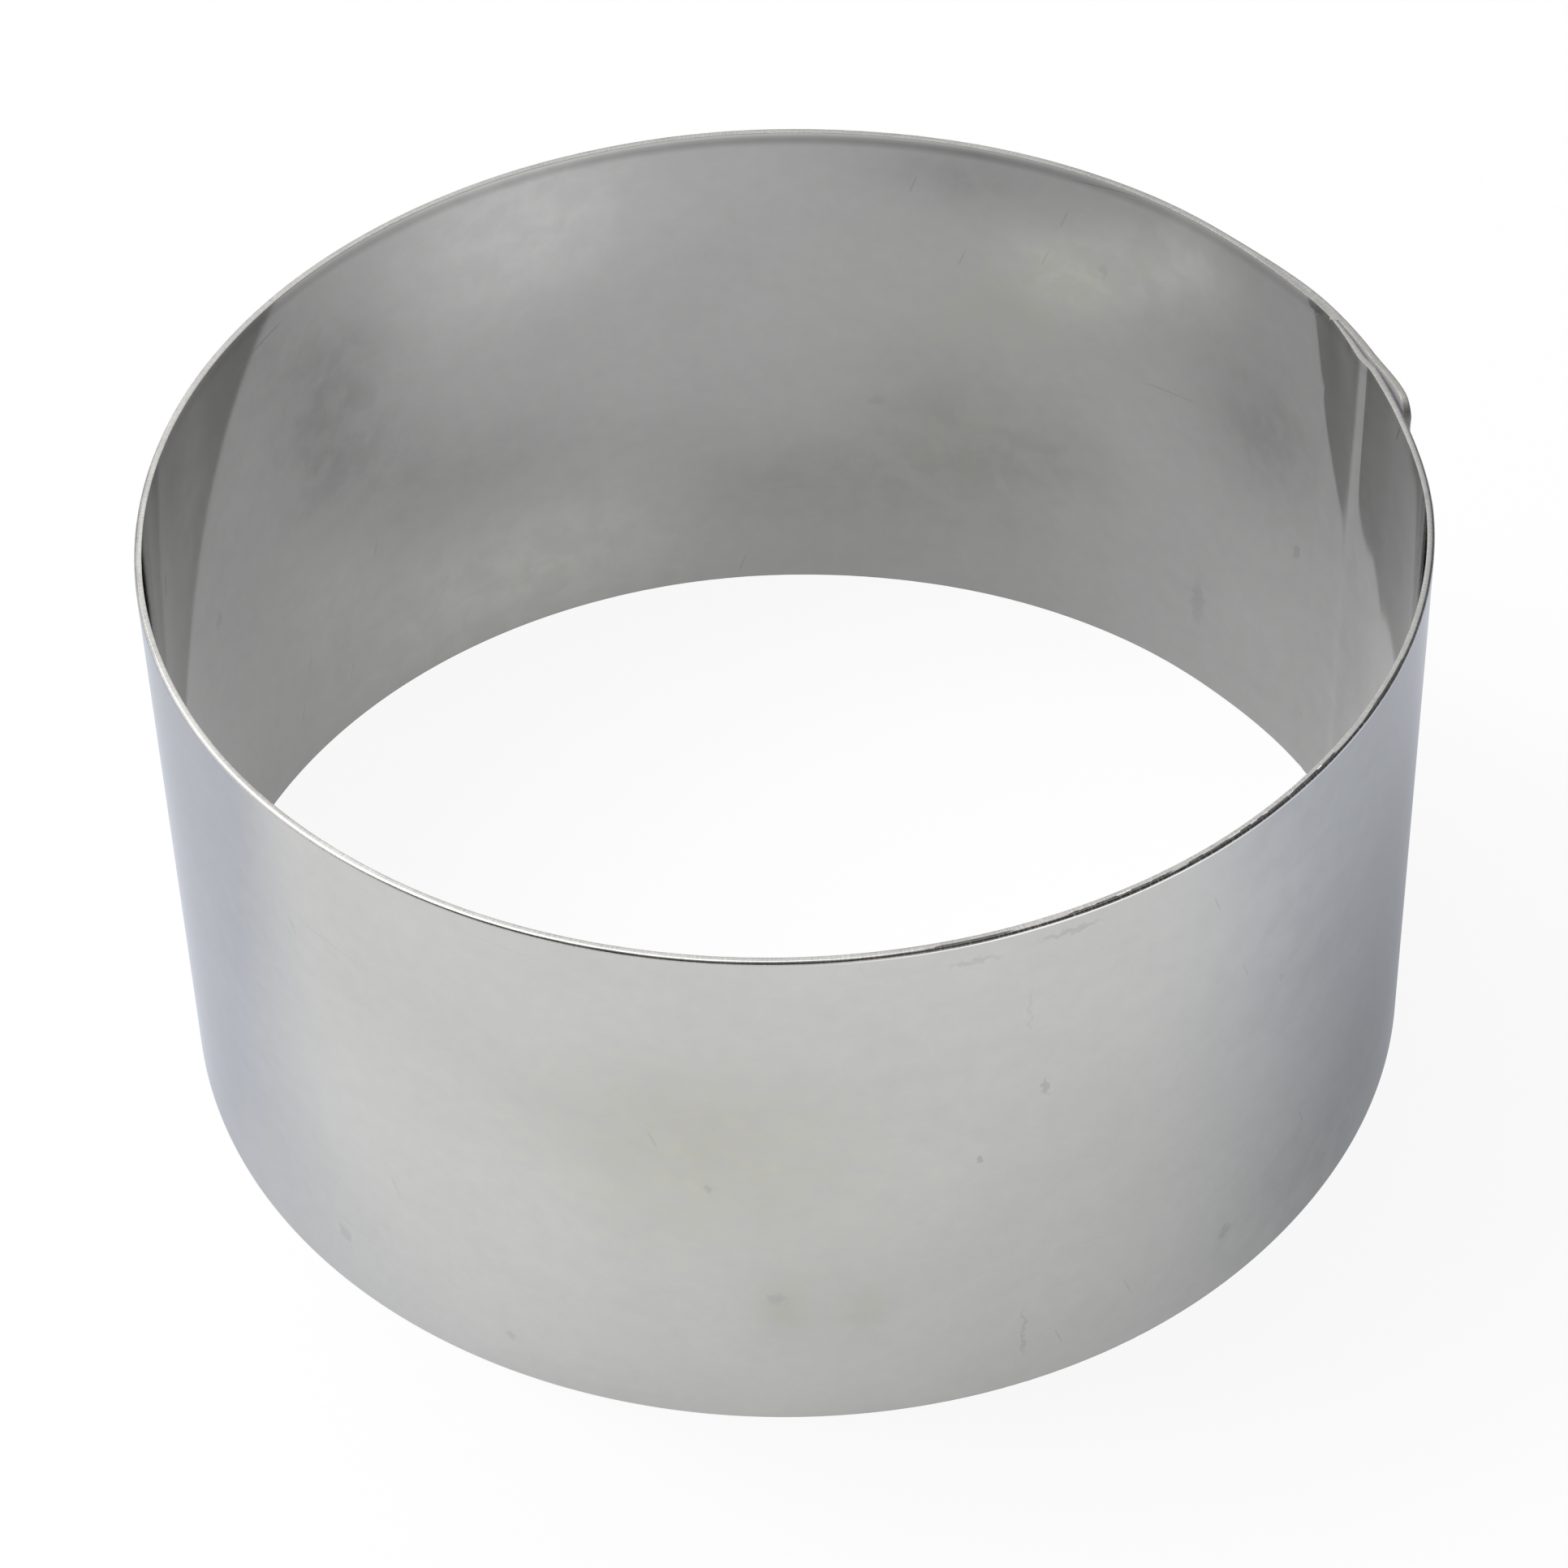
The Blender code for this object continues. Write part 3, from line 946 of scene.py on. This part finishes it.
def make_softbox(name, place_at, aim, turn, width, depth, watts, colour):
    """A rectangular lamp, in metres, that faces its aim and is turned about the vertical in degrees."""
    light = bpy.data.lights.new(name, "AREA")
    light.shape = "RECTANGLE"
    light.size = width
    light.size_y = depth
    light.energy = watts
    light.color = colour
    lamp = bpy.data.objects.new(name, light)
    bpy.context.scene.collection.objects.link(lamp)
    facing = (Vector(aim) - Vector(place_at)).to_track_quat("-Z", "Y").to_matrix().to_4x4()
    lamp.matrix_world = Matrix.Translation(place_at) @ Matrix.Rotation(math.radians(turn), 4, "Z") @ facing
    return lamp


def make_lights():
    """A long softbox overhead, running back to the left, and a smaller, stronger one high on the left."""
    make_softbox(
        "overhead_softbox", place_at=(-0.33, 0.38, 0.82), aim=(-0.33, 0.38, 0), turn=132,
        width=1.05, depth=0.50, watts=3.1, colour=(1.0, 0.995, 0.985),
    )
    make_softbox(
        "left_softbox", place_at=(-0.55, 0.15, 0.88), aim=(0, 0, 0.02), turn=0,
        width=0.55, depth=0.55, watts=6.8, colour=(1.0, 1.0, 1.0),
    )


def turned(first, second, degrees):
    """Turns two directions that stand square to each other, the first towards the second."""
    share = math.cos(math.radians(degrees))
    other = math.sin(math.radians(degrees))
    return share * first + other * second, share * second - other * first


def make_camera():
    """A long lens above and in front, with the small roll that the photograph has."""
    distance = 8.00 * OUTER_RADIUS
    elevation = math.radians(42.31)
    focal_px = 6127.0
    frame_px = 1932.0
    pan, tilt, roll = -0.08, 0.50, 1.65
    forward = Vector((0, math.cos(elevation), -math.sin(elevation)))
    right = Vector((1, 0, 0))
    down = forward.cross(right)
    forward, right = turned(forward, right, pan)
    forward, down = turned(forward, down, tilt)
    right, down = turned(right, down, roll)
    data = bpy.data.cameras.new("camera")
    data.sensor_fit = "HORIZONTAL"
    data.sensor_width = 36.0
    data.lens = focal_px / frame_px * data.sensor_width
    data.clip_start = 0.01
    data.clip_end = 20.0
    camera = bpy.data.objects.new("camera", data)
    bpy.context.scene.collection.objects.link(camera)
    place_at = Vector((0, -distance * math.cos(elevation), distance * math.sin(elevation) + RING_HEIGHT / 2))
    turn = Matrix((right, -down, -forward)).transposed().to_4x4()
    camera.matrix_world = Matrix.Translation(place_at) @ turn
    bpy.context.scene.camera = camera
    return camera


def dress():
    """Makes the wall and its welds, each on the ring's body and in the place of its solid."""
    band = make_band()
    for material in (outer_steel(), inner_steel(), edge_steel(), lap_gap_lightened()):
        band.data.materials.append(material)
    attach(band, "root")
    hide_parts("rolled_band")
    fused = weld_steel()
    for number in range(WELD_COUNT):
        mark = make_weld_mark(number)
        mark.data.materials.append(fused)
        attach(mark, "root")
        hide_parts(f"weld_spot_{number + 1}")


dress()
make_floor()
make_world()
make_lights()
make_camera()
bpy.context.scene.view_settings.view_transform = "Standard"
